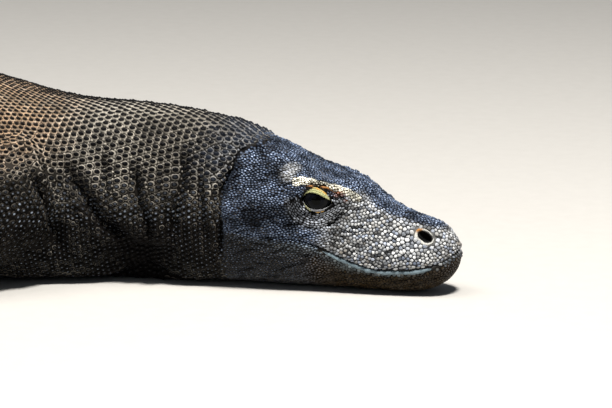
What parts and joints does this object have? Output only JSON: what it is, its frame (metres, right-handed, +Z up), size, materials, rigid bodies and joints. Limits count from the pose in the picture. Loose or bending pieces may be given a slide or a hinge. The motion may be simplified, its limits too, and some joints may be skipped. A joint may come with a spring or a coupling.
{
  "type": "komodo dragon model",
  "caption": "Life-size resting komodo dragon: long flat-bellied body, sprawled clawed legs, tapering tail, blunt snout laid on the floor, scaly hide.",
  "frame": {"origin": "middle of the animal's bounding box, on the floor under its belly", "axes": "+X towards the snout, +Z up, the animal's right side towards -Y"},
  "size_m": [2.33, 0.922, 0.2042],
  "materials": {
    "hide": "dry beaded scales, dull with a faint sheen",
    "head_hide": "pebbled scales, slightly waxy",
    "horn": "dark polished horn",
    "eye": "wet, glossy"
  },
  "bodies": {
    "root": {"head": "head_hide", "lower_jaw": "head_hide", "right_eye": "eye", "left_eye": "eye", "neck": "hide", "chest": "hide", "belly": "hide", "tail_base": "hide", "tail_middle": "hide", "tail_tip": "hide", "right_upper_arm": "hide", "right_forearm": "hide", "right_hand": "hide", "right_hand_claw_1": "horn", "right_hand_claw_2": "horn", "right_hand_claw_3": "horn", "right_hand_claw_4": "horn", "right_hand_claw_5": "horn", "left_upper_arm": "hide", "left_forearm": "hide", "left_hand": "hide", "left_hand_claw_1": "horn", "left_hand_claw_2": "horn", "left_hand_claw_3": "horn", "left_hand_claw_4": "horn", "left_hand_claw_5": "horn", "right_thigh": "hide", "right_shank": "hide", "right_foot": "hide", "right_foot_claw_1": "horn", "right_foot_claw_2": "horn", "right_foot_claw_3": "horn", "right_foot_claw_4": "horn", "right_foot_claw_5": "horn", "left_thigh": "hide", "left_shank": "hide", "left_foot": "hide", "left_foot_claw_1": "horn", "left_foot_claw_2": "horn", "left_foot_claw_3": "horn", "left_foot_claw_4": "horn", "left_foot_claw_5": "horn"}
  },
  "joints": []
}
